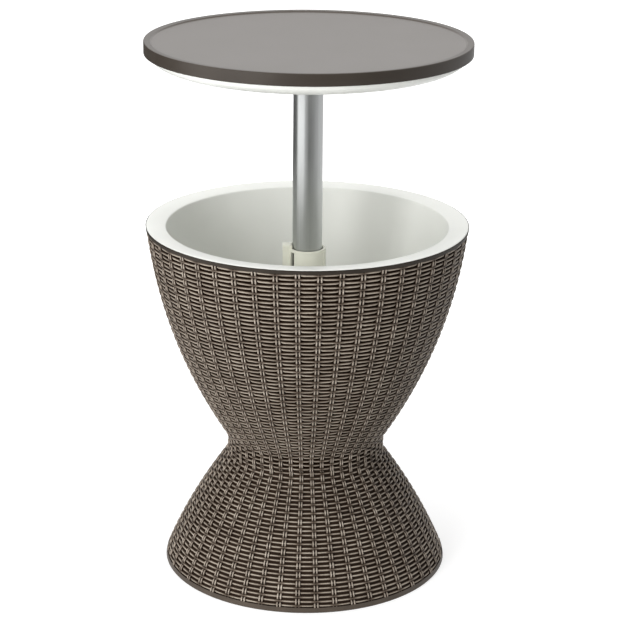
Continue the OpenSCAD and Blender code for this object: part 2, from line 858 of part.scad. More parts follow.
module table_top() {
    in_r = top_r - top_wall;
    lip_r = top_r - lip_w;
    round_pts = [for (i = [0:fillet_steps])
        let (a = i * 90 / fillet_steps)
            [top_r - edge_round * (1 - cos(a)), raised_h - edge_round * (1 - sin(a))]];
    color("#7c746a")
    difference() {
        union() {
            rotate_extrude()
                polygon(concat(
                    [[0, plate_z], [0, tray_z], [lip_r - lip_draft, tray_z], [lip_r + lip_draft, raised_h]],
                    [for (i = [fillet_steps:-1:0]) round_pts[i]],
                    [[top_r, band_z], [in_r, band_z], [in_r, plate_z]]
                ));
            translate([0, 0, pad_z])
                cylinder(r = pad_r, h = pad_h + over);
            ring_of(rib_count, under_pcr, 0)
                translate([0, 0, dish_in_z])
                    cylinder(r = boss_r, h = plate_z + over - dish_in_z, $fn = 64);
            // Radial ribs between the bosses, and a round rib
            for (i = [0:rib_count - 1])
                rotate((i + 0.5) * 360 / rib_count)
                    translate([pad_r - over, -rib_t / 2, plate_z - rib_h])
                        cube([dish_r - dish_wall - rib_end_gap - pad_r, rib_t, rib_h + over]);
            translate([0, 0, plate_z - rib_h])
                difference() {
                    cylinder(r = under_pcr + rib_t / 2, h = rib_h + over);
                    translate([0, 0, -over])
                        cylinder(r = under_pcr - rib_t / 2, h = rib_h + 3 * over);
                }
        }
        translate([0, 0, pad_z - over])
            cylinder(r = cup_r + fit_gap, h = pad_h + over);
        ring_of(socket_screw_count, socket_pcr, socket_screw_angle)
            translate([0, 0, pad_z - over])
                cylinder(r = screw_r + fit_gap, h = pad_h, $fn = 48);
        ring_of(rib_count, under_pcr, 0)
            translate([0, 0, dish_in_z - over])
                cylinder(r = screw_r + fit_gap, h = under_screw_len + 2 * over, $fn = 48);
    }
}

module table_underside() {
    corner_r = dish_r - dish_corner;
    spigot_r = top_r - top_wall - mould_gap;
    spigot_z = band_z + dish_spigot_h;
    // The rounded corner is a quarter of an ellipse
    outer = [for (i = [0:side_steps])
        let (a = i * 90 / side_steps) [corner_r + dish_corner * sin(a), band_z - dish_h * cos(a)]];
    inner = [for (i = [side_steps:-1:0])
        let (a = i * 90 / side_steps)
            [corner_r + (dish_corner - dish_wall) * sin(a), band_z - (dish_h - dish_wall) * cos(a)]];
    color("#ecece8")
    difference() {
        rotate_extrude()
            polygon(concat(
                [[pole_r + run_gap, dish_z]],
                outer,
                [[spigot_r, band_z], [spigot_r, spigot_z], [dish_r - dish_wall, spigot_z]],
                inner,
                [[pole_r + run_gap, dish_in_z]]
            ));
        ring_of(rib_count, under_pcr, 0)
            translate([0, 0, dish_z - over])
                cylinder(r = screw_r + hole_gap, h = dish_wall + 2 * over, $fn = 48);
    }
}

module underside_screws() {
    color("#b8b8b8")
    ring_of(rib_count, under_pcr, 0)
        translate([0, 0, dish_z])
            screw(screw_r, dish_wall + under_screw_len, screw_head_r, screw_head_h, $fn = 48);
}

base_shell();
column_brace();
body_shell();
cooler_tub();
column_sleeve();
column_cap();
pole_guide();
sleeve_seal();
sleeve_screws();
frame_screws();
drain_bush();
drain_gasket();
drain_nut();
drain_plug();
plug_ring();
lock_bush();
pole();
pole_end_plug();
lock_cam();
cam_screw();
cam_pin();
pole_socket();
socket_pin();
socket_screws();
table_top();
table_underside();
underside_screws();
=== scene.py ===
import json
import math

import bmesh
import bpy
import numpy as np
from mathutils import Matrix, Vector


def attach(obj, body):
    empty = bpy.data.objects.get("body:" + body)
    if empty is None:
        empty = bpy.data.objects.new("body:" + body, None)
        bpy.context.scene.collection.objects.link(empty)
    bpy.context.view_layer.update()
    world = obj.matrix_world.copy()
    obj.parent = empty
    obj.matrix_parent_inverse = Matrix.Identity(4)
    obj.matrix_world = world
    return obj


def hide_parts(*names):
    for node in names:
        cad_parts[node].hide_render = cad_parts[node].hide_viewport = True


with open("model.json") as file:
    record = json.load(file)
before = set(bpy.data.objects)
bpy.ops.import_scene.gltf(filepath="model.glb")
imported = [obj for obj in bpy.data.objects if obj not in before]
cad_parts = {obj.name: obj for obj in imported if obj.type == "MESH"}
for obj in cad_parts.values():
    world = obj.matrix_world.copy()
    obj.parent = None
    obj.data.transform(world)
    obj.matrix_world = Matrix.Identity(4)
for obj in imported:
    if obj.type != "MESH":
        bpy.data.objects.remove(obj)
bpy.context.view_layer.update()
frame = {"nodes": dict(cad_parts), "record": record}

# Sizes are in millimetres and turned to metres when a mesh is made. Levels are heights above the floor.
MM = 0.001
# Number of slices round a turned piece: of a shell's ground, of the large smooth mouldings and of small ones
SLICES = 256
FINE_SLICES = 320
SMALL_SLICES = 128
# Number of points on a shell's curve, and along its ground, its inner face and each of the tub's faces
WALL_POINTS = 1500
GROUND_POINTS = 60
INNER_POINTS = 50
TUB_POINTS = 44
# Clearance between large moulded pieces, and the depth to which a cut runs past a piece
MOULD_GAP = 0.3
OVER = 1.0

# The shells, whose outer curves the tops of the strands follow
RIM_TOP = 555.4
EDGE_TOP = 554.7
LEDGE = 551.4
SEAM = 190.0
NECK_R = 124.0
NECK_SOFT = 2.7
BOWL_R = 248.5
FOOT_R = 224.6
FOOT_H = 12.0
FOOT_DRAFT = 2.7
SHELL_WALL = 5.0
WAIST_PLATE = 4.0
WAIST_HOLE_R = 92.0
FOOT_EDGE = 12.0

# The weave
PAIRS = 48
BOWL_TURN = math.radians(0.70)
BASE_TURN = math.radians(1.12)
BOWL_ROWS = 58
BASE_ROWS = 31
FIRST_ROW = 8.73
ROW_ABOVE_SEAM = 3.5
LAST_ROW_LEVEL = 10.5
WEFT_WIDTH = 3.6
WEFT_RISE = 1.9
STAKE_WIDTH = 3.3
STAKE_RISE = 1.7
GROUND_DEPTH = 4.1
# How far a strand's flanks stand out beside it, and how far they run into the ground
FLANK = 0.15
ROOT = 0.3
# Depth of a weft's crest under the shell's outer curve where it passes over a pair, how far it sags from
# there on, and how far it dives under the next pair
WEFT_OVER = 0.75
WEFT_SAG = 1.0
WEFT_DIVE = 1.5
# Depth of a stake's crest where it stands proud, and how much deeper it lies where a weft crosses it
STAKE_PROUD = 0.05
STAKE_CROSSED = 2.35
# Angle between faces from which a strand's edges are crisp
STRAND_CREASE = 80
PLAIN_BAND = 6.0
FOOT_BAND = 8.2
# How far the stakes run on under a plain band, and how far from the seam they end
TUCK = 1.0
SEAM_GAP = 0.2

# The tub
TUB_WALL = 3.0
TUB_FLOOR = 235.0
TUB_FLOOR_T = 4.0
TUB_FLOOR_R = 103.0
TUB_FILLET = 9.0
RIM_R = 248.0
RIM_W = 30.5
RIM_SLOPE = 2.9
SKIRT_H = 8.0
SKIRT_W = 3.0

# The column and the drain
SLEEVE_R = 29.0
SLEEVE_BORE_R = 24.4
SLEEVE_FOOT = 145.9
CAP_LEVEL = 511.0
CAP_H = 4.0
# The bore is wider than the pole, which leaves a dark groove round it
CAP_BORE_R = 24.4
HOUSING_REACH = 38.0
HOUSING_W = 17.0
HOUSING_RISE = 5.0
KEYWAY_W = 10.0
KEYWAY_REACH = 36.0
SLOT_W = 9.0
SLOT_LEN = 40.0
SLOT_ANGLE = math.radians(217)
RIB_ANGLE = math.radians(-28)
RIB_W = 4.0
FLANGE_R = 52.0
FLANGE_LEVEL = 236.5
FLANGE_T = 5.0
# Number of the flange's screws, and the angle in degrees of the first
SCREWS = 6
SCREW_START = 30
SCREW_RING_R = 45.0
SCREW_BOSS_R = 5.0
SCREW_BOSS_H = 9.0
DRAIN_R = 76.0
DRAIN_ANGLE = math.radians(45)
DRAIN = (DRAIN_R * math.cos(DRAIN_ANGLE), DRAIN_R * math.sin(DRAIN_ANGLE))
PLUG_SEAT = 239.8

# The table top, its underside and the pole
TOP_LEVEL = 840.0
TOP_R = 247.5
BAND_H = 18.5
LIP_W = 11.0
LIP_SLOPE = 0.8
TRAY_DEPTH = 2.5
TOP_WALL = 3.5
DISH_H = 21.0
DISH_R = 240.0
DISH_CORNER = 50.0
DISH_WALL = 2.5
POLE_R = 23.0
POLE_WALL = 1.5
POLE_FOOT = 430.0
POLE_TOP = 831.0
POLE_GAP = 0.3
# Radius of the underside's flat middle, and height of its edge inside the band
FLAT_R = 100.0
SPIGOT_H = 3.0


class Bulge:
    """An arc from a lower to an upper point, given as radius and level, that bulges out from their chord."""

    def __init__(self, low, high, bulge):
        chord = math.dist(low, high)
        self.arc = (chord * chord / 4 + bulge * bulge) / (2 * bulge)
        back = (self.arc - bulge) / chord
        self.r = (low[0] + high[0]) / 2 - back * (high[1] - low[1])
        self.z = (low[1] + high[1]) / 2 + back * (high[0] - low[0])

    def radius(self, level, grow=0.0):
        return self.r + np.sqrt((self.arc + grow) ** 2 - (level - self.z) ** 2)


BOWL = Bulge((110.0, SEAM), (BOWL_R, LEDGE), 24.7)
CONE = Bulge((FOOT_R - FOOT_DRAFT, FOOT_H), (117.0, SEAM), 6.3)
TUB = Bulge((TUB_FLOOR_R, TUB_FLOOR), (RIM_R - RIM_W, RIM_TOP - RIM_SLOPE), 19.5)


def soft_neck(radius):
    """Rounds the corner where a shell's curve meets the neck."""
    past = radius - NECK_R
    return NECK_R + (past + np.sqrt(past * past + NECK_SOFT * NECK_SOFT)) / 2


def bowl_radius(level):
    return soft_neck(BOWL.radius(level))


def base_radius(level):
    foot = FOOT_R - FOOT_DRAFT * level / FOOT_H
    return np.where(level < FOOT_H, foot, soft_neck(CONE.radius(np.maximum(level, FOOT_H))))


class Wall:
    """The side of a shell, followed down from its upper edge by the distance along it.

    The turn is how far round from the front its weave starts."""

    def __init__(self, radius_at, top, bottom, turn):
        self.turn = turn
        self.z = np.linspace(top, bottom, WALL_POINTS)
        self.r = radius_at(self.z)
        steps = np.hypot(np.diff(self.r), np.diff(self.z))
        self.along = np.concatenate([[0.0], np.cumsum(steps)])
        self.length = self.along[-1]
        self.slope_r = np.gradient(self.r, self.along)
        self.slope_z = np.gradient(self.z, self.along)

    def at_level(self, level):
        """Distance along the wall of a level."""
        return float(np.interp(-level, -self.z, self.along))

    def radius(self, along):
        return np.interp(along, self.along, self.r)

    def point(self, along, out):
        """Radius and level of points at a distance along the wall and out from it."""
        z = np.interp(along, self.along, self.z)
        slope_r = np.interp(along, self.along, self.slope_r)
        slope_z = np.interp(along, self.along, self.slope_z)
        return self.radius(along) - slope_z * out, z + slope_r * out


# Meshes


def new_object(name, verts, faces):
    """A smooth-shaded object from points in millimetres."""
    mesh = bpy.data.meshes.new(name)
    mesh.from_pydata(np.asarray(verts, float) * MM, [], faces)
    mesh.validate()
    mesh.shade_smooth()
    obj = bpy.data.objects.new(name, mesh)
    bpy.context.scene.collection.objects.link(obj)
    return obj


def clean(obj):
    """Joins points that coincide and turns every face of a closed mesh outwards."""
    bm = bmesh.new()
    bm.from_mesh(obj.data)
    bmesh.ops.remove_doubles(bm, verts=bm.verts, dist=1e-6)
    bmesh.ops.recalc_face_normals(bm, faces=bm.faces)
    bm.to_mesh(obj.data)
    bm.free()


def sharpen(obj, degrees):
    """Keeps edges crisp where faces meet at more than this angle."""
    obj.data.set_sharp_from_angle(angle=math.radians(degrees))


def rounded(corners, steps=5):
    """A section's points from corners given as radius, level and rounding."""
    points = []
    count = len(corners)
    for i, (r, z, rounding) in enumerate(corners):
        corner = Vector((r, z))
        if rounding <= 0:
            points.append(corner)
            continue
        before = Vector(corners[i - 1][:2]) - corner
        after = Vector(corners[(i + 1) % count][:2]) - corner
        half = before.angle(after) / 2
        reach = rounding / math.tan(half)
        centre = corner + (before.normalized() + after.normalized()).normalized() * rounding / math.sin(half)
        start = corner + before.normalized() * reach - centre
        end = corner + after.normalized() * reach - centre
        turn = start.angle_signed(end)
        for k in range(steps + 1):
            spoke = start.copy()
            spoke.rotate(Matrix.Rotation(-turn * k / steps, 2))
            points.append(centre + spoke)
    return [(p.x, p.y) for p in points]


def grid_faces(rows, columns, wrap_rows):
    """Quads of a grid of points whose columns close on themselves."""
    row, column = np.meshgrid(np.arange(rows if wrap_rows else rows - 1), np.arange(columns), indexing="ij")
    next_row = (row + 1) % rows
    next_column = (column + 1) % columns
    quads = np.stack(
        [row * columns + column, next_row * columns + column,
         next_row * columns + next_column, row * columns + next_column], -1)
    return quads.reshape(-1, 4)


def turned(name, section, slices=SLICES, centre=(0.0, 0.0)):
    """A solid of revolution about an upright axis from a closed section of radii and levels."""
    section = np.array(section, float)
    turn = np.arange(slices) * 2 * math.pi / slices
    verts = np.empty((slices, len(section), 3))
    verts[..., 0] = centre[0] + section[:, 0] * np.cos(turn)[:, None]
    verts[..., 1] = centre[1] + section[:, 0] * np.sin(turn)[:, None]
    verts[..., 2] = section[:, 1]
    obj = new_object(name, verts.reshape(-1, 3), grid_faces(slices, len(section), True).tolist())
    clean(obj)
    return obj


def block(name, low, high, turn=0.0):
    """A box between two corners in millimetres, turned about the Z axis."""
    low, high = Vector(low), Vector(high)
    bm = bmesh.new()
    bmesh.ops.create_cube(bm, size=1.0)
    for vert in bm.verts:
        for axis in range(3):
            middle = (low[axis] + high[axis]) / 2
            vert.co[axis] = middle + vert.co[axis] * (high[axis] - low[axis])
    bmesh.ops.rotate(bm, verts=bm.verts, matrix=Matrix.Rotation(turn, 3, "Z"))
    bmesh.ops.scale(bm, vec=(MM, MM, MM), verts=bm.verts)
    mesh = bpy.data.meshes.new(name)
    bm.to_mesh(mesh)
    bm.free()
    obj = bpy.data.objects.new(name, mesh)
    bpy.context.scene.collection.objects.link(obj)
    return obj


def rod(name, radius, low, high, centre=(0.0, 0.0), slices=SMALL_SLICES):
    """A solid cylinder between two levels."""
    return turned(name, [(0.0, low), (radius, low), (radius, high), (0.0, high)], slices, centre)


def settle(obj):
    """Makes an object's modifiers part of its mesh."""
    bpy.context.view_layer.update()
    evaluated = obj.evaluated_get(bpy.context.evaluated_depsgraph_get())
    mesh = bpy.data.meshes.new_from_object(evaluated)
    obj.modifiers.clear()
    obj.data = mesh


def combine(obj, tool, operation):
    """Joins a solid with another or cuts it with it. The other is used up."""
    modifier = obj.modifiers.new("combine", "BOOLEAN")
    modifier.operation = operation
    modifier.solver = "EXACT"
    modifier.object = tool
    settle(obj)
    bpy.data.objects.remove(tool)


def ease(obj, width, degrees=35):
    """Rounds a moulding's edges."""
    modifier = obj.modifiers.new("ease", "BEVEL")
    modifier.width = width * MM
    modifier.segments = 3
    modifier.limit_method = "ANGLE"
    modifier.angle_limit = math.radians(degrees)
    modifier.use_clamp_overlap = True
    settle(obj)
    obj.data.shade_smooth()
    sharpen(obj, degrees)


# The weave


def smooth(value, low, high):
    """Rises softly from 0 at low to 1 at high."""
    t = np.clip((value - low) / (high - low), 0.0, 1.0)
    return t * t * (3 - 2 * t)


def strand_section(width, rise):
    """Half an oval on two flanks that go down to the ground.

    Gives each point's place across, its drop from the crest, whether it lies on the ground, and its nearness
    to the crest, which sets its painted highlight and painted shade."""
    lean = np.radians(np.array([-90.0, -45.0, 0.0, 45.0, 90.0]))
    flank = width / 2 + FLANK
    across = np.concatenate([[-flank], width / 2 * np.sin(lean), [flank]])
    drop = np.concatenate([[0.0], rise * (1 - np.cos(lean)), [0.0]])
    low = np.array([True] + [False] * 5 + [True])
    crest = np.array([0.0, 0.2, 0.7, 1.0, 0.7, 0.2, 0.0])
    return across, drop, low, crest


def heights(out, drop, low):
    """How far the points of a strand's sections lie out from the wall, for each place along it."""
    return np.where(low[None, :], -GROUND_DEPTH - ROOT, out[:, None] - drop[None, :])


def strands(name, pieces, crests, wrap):
    """One mesh of many strands.

    Each piece holds a strand's points, by step along it and place round its section. Its crest says how light
    each of them is painted: pale at the crest as a painted highlight, dark at the foot and crossings as
    painted shade."""
    verts, faces, first = [], [], 0
    for points in pieces:
        steps, around = points.shape[:2]
        faces += (grid_faces(steps, around, wrap) + first).tolist()
        if not wrap:
            faces.append(list(range(first, first + around)))
            last = first + (steps - 1) * around
            faces.append(list(range(last + around - 1, last - 1, -1)))
        verts.append(points.reshape(-1, 3))
        first += steps * around
    obj = new_object(name, np.concatenate(verts), faces)
    mark = obj.data.attributes.new("crest", "FLOAT", "POINT")
    values = np.concatenate([crest.reshape(-1) for crest in crests])
    mark.data.foreach_set("value", values.astype(np.float32))
    clean(obj)
    sharpen(obj, STRAND_CREASE)
    return obj


def pair_gap(radius):
    """Half the distance between the two stakes of a pair, which draw together where the shell narrows."""
    return 0.9 + 0.0066 * radius


def slimness(radius):
    """How much thinner the strands are where the shell narrows."""
    return np.clip(0.52 + radius / 500, 0.0, 1.0)


def wefts(name, wall, rows, first_sign, rows_wanted):
    """The strands that run round a shell, over one pair of stakes and under the next."""
    made, crests = [], []
    for k in rows_wanted:
        radius = float(wall.radius(rows[k]))
        across, drop, low, crest = strand_section(WEFT_WIDTH * float(slimness(radius)), WEFT_RISE)
        spacing = radius * 2 * math.pi / PAIRS
        under = (pair_gap(radius) + STAKE_WIDTH / 2 * slimness(radius) + 0.5) / spacing
        # Places between the pair the weft passes over and the next, which it dives under
        dive = 1 - under
        places = np.array([0.0, 0.3, 0.58, dive - 0.12, dive - 0.06, dive, dive + 0.06, 1.0])
        out = -WEFT_OVER - WEFT_SAG * places ** 2 - WEFT_DIVE * smooth(places, dive - 0.13, dive + 0.04)
        places = np.concatenate([places, 2 - places[-2:0:-1]])
        out = np.concatenate([out, out[-2:0:-1]])
        # Painted shade: the weft is painted darker where it passes over a pair, as the proud stakes beside it
        # shade it
        crossing_shade = np.tile(0.5 + 0.5 * smooth(np.minimum(places, 2 - places), 0.1, 0.34), PAIRS // 2)
        # The first pair it passes over
        start = 0.5 if first_sign * (-1) ** k > 0 else 1.5
        pairs_round = (np.arange(PAIRS // 2)[:, None] * 2 + start + places[None, :]).reshape(-1)
        turn = pairs_round * (2 * math.pi / PAIRS) + wall.turn
        out = np.tile(out, PAIRS // 2)
        r, z = wall.point(rows[k] + across[None, :], heights(out, drop, low))
        made.append(np.stack([r * np.sin(turn)[:, None], -r * np.cos(turn)[:, None], z], -1))
        crests.append(crossing_shade[:, None] * crest)
    return strands(name, made, crests, True)


def stakes(name, wall, rows, first_sign, start, end, pairs_wanted):
    """The pairs of strands that run down a shell and stand proud between the wefts that cross them."""
    pitch = rows[1] - rows[0]
    across, drop, low, crest = strand_section(STAKE_WIDTH, STAKE_RISE)
    made, crests = [], []
    for pair in pairs_wanted:
        crossed = rows[0] if first_sign * (-1) ** pair > 0 else rows[1]
        # Places in the weave's repeat, which starts at a crossing
        places = np.array([-0.12, 0.12, 0.3, 0.5, 1.0, 1.5, 1.7])
        repeats = np.arange(-2, len(rows) // 2 + 2)
        along = (crossed + pitch * (2 * repeats[:, None] + places[None, :])).reshape(-1)
        along = np.concatenate([[start], along[(along > start + 0.3) & (along < end - 0.3)], [end]])
        away = np.abs((along - crossed) / pitch % 2 - 1)
        out = -STAKE_PROUD - STAKE_CROSSED * smooth(away, 0.5, 0.88)
        # Painted shade: the stake is painted darker where it dives under a weft
        crossing_shade = 1 - 0.5 * smooth(away, 0.35, 0.75)
        radius = wall.radius(along)
        middle = (pair + 0.5) * 2 * math.pi / PAIRS + wall.turn
        r, z = wall.point(along[:, None], heights(out, drop, low))
        for side in (-1, 1):
            sideways = side * pair_gap(radius)[:, None] + slimness(radius)[:, None] * across[None, :]
            turn = middle + sideways / radius[:, None]
            made.append(np.stack([r * np.sin(turn), -r * np.cos(turn), z], -1))
            crests.append(crossing_shade[:, None] * crest)
    return strands(name, made, crests, False)


def ground(name, wall, plain_top, plain_foot, inside, band, recess_shade):
    """The moulded ground behind the weave, with a plain band where the shell has one.

    The faces that lie behind the weave have the recess's material, painted dark as painted shade."""
    # Distances along the wall and out from it. A plain band at the top starts with a rounded edge
    if plain_top > 0:
        depth = [(0.0, -0.4), (0.2, -0.15), (0.6, 0.0), (plain_top, 0.0), (plain_top + 0.4, -GROUND_DEPTH)]
    else:
        depth = [(0.0, -GROUND_DEPTH)]
    last = wall.length - plain_foot
    depth += [(float(s), -GROUND_DEPTH) for s in np.linspace(depth[-1][0], last - 0.4, GROUND_POINTS)[1:]]
    if plain_foot > 0:
        depth += [(float(s), 0.0) for s in np.linspace(last, wall.length - 1.2, 6)]
    outside = [tuple(float(v) for v in wall.point(np.array(s), np.array(d))) for s, d in depth]
    obj = turned(name, outside + inside)
    sunk = [0] * (len(outside) + len(inside))
    for i in range(len(depth) - 1):
        sunk[i] = int(depth[i][1] < 0 or depth[i + 1][1] < 0)
    paint(obj, band, recess_shade)
    obj.data.polygons.foreach_set("material_index", np.tile(sunk, SLICES))
    sharpen(obj, 40)
    return obj


def inner_face(wall, start, end):
    """Points of a shell's inner face, one wall's thickness behind its outer curve."""
    inner = [wall.point(s, -SHELL_WALL) for s in np.linspace(start, end, INNER_POINTS)]
    return [(float(r), float(z)) for r, z in inner]


def bowl_pieces():
    """The ground, the wefts in two halves and the stakes in two halves of the upper shell."""
    wall = Wall(bowl_radius, EDGE_TOP, SEAM, BOWL_TURN)
    rows = np.linspace(FIRST_ROW, wall.at_level(SEAM + ROW_ABOVE_SEAM), BOWL_ROWS)
    inside = [(WAIST_HOLE_R, SEAM), (WAIST_HOLE_R, SEAM + WAIST_PLATE)]
    inside += inner_face(wall, wall.at_level(SEAM + WAIST_PLATE), wall.at_level(LEDGE - 1.0))
    # The ledge under the tub's rim, and the edge that stands round it
    edge_in = RIM_R + MOULD_GAP
    inside += [(float(bowl_radius(LEDGE)) - SHELL_WALL, LEDGE), (edge_in, LEDGE), (edge_in, EDGE_TOP - 0.3)]
    middle = BOWL_ROWS // 2
    ends = (PLAIN_BAND - TUCK, wall.length - SEAM_GAP)
    return (
        ground("bowl_ground", wall, PLAIN_BAND, 0.0, inside, shell_finish, recess_shade_finish),
        wefts("bowl_wefts_upper", wall, rows, 1, range(middle)),
        wefts("bowl_wefts_lower", wall, rows, 1, range(middle, BOWL_ROWS)),
        stakes("bowl_stakes_right", wall, rows, 1, *ends, range(PAIRS // 2)),
        stakes("bowl_stakes_left", wall, rows, 1, *ends, range(PAIRS // 2, PAIRS)),
    )


def base_pieces():
    """The ground, the wefts and the stakes of the lower shell."""
    wall = Wall(base_radius, SEAM, 0.0, BASE_TURN)
    rows = np.linspace(ROW_ABOVE_SEAM, wall.at_level(LAST_ROW_LEVEL), BASE_ROWS)
    inside = [(FOOT_R - 1.2, 0.0), (FOOT_R - FOOT_EDGE, 0.0), (FOOT_R - FOOT_EDGE, WAIST_PLATE)]
    inside += inner_face(wall, wall.length - WAIST_PLATE, WAIST_PLATE)
    inside += [(WAIST_HOLE_R, SEAM - WAIST_PLATE), (WAIST_HOLE_R, SEAM)]
    return (
        ground("base_ground", wall, 0.0, FOOT_BAND, inside, foot_lit_finish, cone_recess_shade_finish),
        wefts("base_wefts", wall, rows, -1, range(BASE_ROWS)),
        stakes("base_stakes", wall, rows, -1, SEAM_GAP, wall.length - FOOT_BAND + TUCK, range(PAIRS)),
    )


# Smooth mouldings


def tub():
    """The white tub with its sloping rim and the skirt that sits in the shell."""
    rim_in = RIM_TOP - RIM_SLOPE
    mouth_r = RIM_R - RIM_W
    under = TUB_FLOOR - TUB_FLOOR_T
    skirt_level = LEDGE - SKIRT_H
    skirt_r = float(bowl_radius(skirt_level)) - SHELL_WALL - MOULD_GAP
    column_hole_r = HOUSING_REACH + 2.0
    levels = np.linspace(TUB_FLOOR + TUB_FILLET, rim_in - 3.0, TUB_POINTS)
    inside = [(column_hole_r, TUB_FLOOR, 0), (TUB_FLOOR_R, TUB_FLOOR, TUB_FILLET)]
    inside += [(float(TUB.radius(z)), float(z), 0) for z in levels]
    rim = [
        (mouth_r, rim_in, 2.4),
        (RIM_R, RIM_TOP, 1.3),
        (RIM_R, LEDGE, 0.3),
        (float(bowl_radius(LEDGE)) - SHELL_WALL - MOULD_GAP, LEDGE, 0),
        (skirt_r, skirt_level, 0),
        (skirt_r - SKIRT_W, skirt_level, 0),
        (skirt_r - SKIRT_W, LEDGE - RIM_SLOPE, 0),
    ]
    levels = np.linspace(rim_in - 4.0, under, TUB_POINTS)
    outside = [(float(TUB.radius(z, TUB_WALL)), float(z), 0) for z in levels]
    outside.append((column_hole_r, under, 0))
    obj = turned("tub_moulding", rounded(inside + rim + outside), FINE_SLICES)
    sharpen(obj, 40)
    return obj


def column_sleeve():
    """The column moulding with its keyway housing, upright slot, slim rib and screwed flange."""
    obj = rod("column_moulding", SLEEVE_R, SLEEVE_FOOT, CAP_LEVEL)
    flange_top = FLANGE_LEVEL + FLANGE_T
    foot, top = SLEEVE_FOOT - OVER, CAP_LEVEL + OVER

    def bar(name, start, end, width, low, high, turn=0.0):
        """A block that reaches out from the axis."""
        return block(name, (start, -width / 2, low), (end, width / 2, high), turn)

    combine(obj, bar("housing", -HOUSING_REACH, -5, HOUSING_W, SLEEVE_FOOT, CAP_LEVEL), "UNION")
    combine(obj, rod("flange", FLANGE_R, FLANGE_LEVEL, flange_top), "UNION")
    for i in range(SCREWS):
        turn = math.radians(SCREW_START + 360 / SCREWS * i)
        centre = (SCREW_RING_R * math.cos(turn), SCREW_RING_R * math.sin(turn))
        boss_top = flange_top + SCREW_BOSS_H
        boss = rod("screw_boss", SCREW_BOSS_R, FLANGE_LEVEL + 0.5, boss_top, centre, slices=48)
        combine(obj, boss, "UNION")
    rib = bar("rib", SLEEVE_R - 2, SLEEVE_R + 1, RIB_W, FLANGE_LEVEL + 1, CAP_LEVEL, RIB_ANGLE)
    combine(obj, rib, "UNION")
    combine(obj, rod("bore", SLEEVE_BORE_R, foot, top), "DIFFERENCE")
    combine(obj, bar("keyway", -KEYWAY_REACH, 0, KEYWAY_W, foot, top), "DIFFERENCE")
    slot = bar("slot", SLEEVE_BORE_R - 3, 60, SLOT_W, CAP_LEVEL - SLOT_LEN, top, SLOT_ANGLE)
    combine(obj, slot, "DIFFERENCE")
    ease(obj, 0.5)
    return obj


def column_cap():
    """The cap that holds the pole's guide down, with the end of the keyway housing."""
    top = CAP_LEVEL + CAP_H
    section = rounded([
        (CAP_BORE_R, CAP_LEVEL, 0), (SLEEVE_R, CAP_LEVEL, 0), (SLEEVE_R, top, 1.4), (CAP_BORE_R, top, 0.8)])
    obj = turned("cap_moulding", section, SMALL_SLICES)
    half = HOUSING_W / 2
    end_top = top + HOUSING_RISE
    end = block("housing_end", (-HOUSING_REACH, -half, CAP_LEVEL), (-CAP_BORE_R + 6, half, end_top))
    combine(end, rod("clearance", CAP_BORE_R, CAP_LEVEL - OVER, end_top + OVER), "DIFFERENCE")
    ease(end, 1.2)
    combine(obj, end, "UNION")
    obj.data.shade_smooth()
    sharpen(obj, 35)
    return obj


def drain_plug():
    """The plug's cap and grip over the drain."""
    # Each corner's radius, its height above the seat and its rounding
    corners = [
        (0.0, -17, 0), (6.9, -17, 1.0), (6.9, 0, 0), (12.0, 0, 0.4), (12.0, 4, 1.0),
        (5.0, 4, 0.8), (5.0, 11, 0.6), (8.0, 11, 0.8), (8.0, 14, 1.0), (0.0, 14, 0)]
    section = rounded([(r, PLUG_SEAT + rise, rounding) for r, rise, rounding in corners])
    obj = turned("plug_moulding", section, slices=96, centre=DRAIN)
    sharpen(obj, 40)
    return obj


def table_top():
    """The brown tray with its lip and deep band."""
    tray = TOP_LEVEL - TRAY_DEPTH
    plate = tray - TOP_WALL
    band = TOP_LEVEL - BAND_H
    lip_r = TOP_R - LIP_W
    section = rounded([
        (0.0, tray, 0),
        (lip_r - 1.0, tray, 0.6),
        (lip_r + 1.0, TOP_LEVEL - LIP_SLOPE, 0.6),
        (TOP_R, TOP_LEVEL, 1.3),
        (TOP_R, band, 0.6),
        (TOP_R - TOP_WALL, band, 0.6),
        (TOP_R - TOP_WALL, plate, 1.0),
        (0.0, plate, 0),
    ])
    obj = turned("table_top_moulding", section, FINE_SLICES)
    sharpen(obj, 50)
    # The lip and the band have a coarser grain and are painted darker than the tray, as painted shade
    paint(obj, tray_finish, band_finish)
    middles = np.empty(3 * len(obj.data.polygons))
    obj.data.polygons.foreach_get("center", middles)
    outside_tray = np.hypot(middles[0::3], middles[1::3]) > (lip_r + 0.5) * MM
    obj.data.polygons.foreach_set("material_index", outside_tray.astype(int))
    return obj


def table_underside():
    """The white lid under the tray, a shallow dish whose corner is a quarter of an ellipse."""
    band = TOP_LEVEL - BAND_H
    corner_r = DISH_R - DISH_CORNER
    lean = np.linspace(0, math.pi / 2, 36)
    outer = [(corner_r + DISH_CORNER * math.sin(a), band - DISH_H * math.cos(a)) for a in lean]
    inner = [
        (corner_r + (DISH_CORNER - DISH_WALL) * math.sin(a), band - (DISH_H - DISH_WALL) * math.cos(a))
        for a in lean[::-1]
    ]
    hole_r = POLE_R + POLE_GAP
    spigot_r = TOP_R - TOP_WALL - MOULD_GAP
    section = [(hole_r, band - DISH_H), (FLAT_R, band - DISH_H)] + outer
    section += [(spigot_r, band), (spigot_r, band + SPIGOT_H), (DISH_R - DISH_WALL, band + SPIGOT_H)] + inner
    section += [(FLAT_R, band - DISH_H + DISH_WALL), (hole_r, band - DISH_H + DISH_WALL)]
    obj = turned("table_underside_moulding", section, FINE_SLICES)
    sharpen(obj, 45)
    return obj


def pole():
    """The tube, with its ends deburred."""
    inner = POLE_R - POLE_WALL
    corners = [
        (inner, POLE_FOOT, 0.2), (POLE_R, POLE_FOOT, 0.4), (POLE_R, POLE_TOP, 0.4), (inner, POLE_TOP, 0.2)]
    obj = turned("pole_tube", rounded(corners, steps=2), slices=192)
    sharpen(obj, 50)
    return obj


# Materials


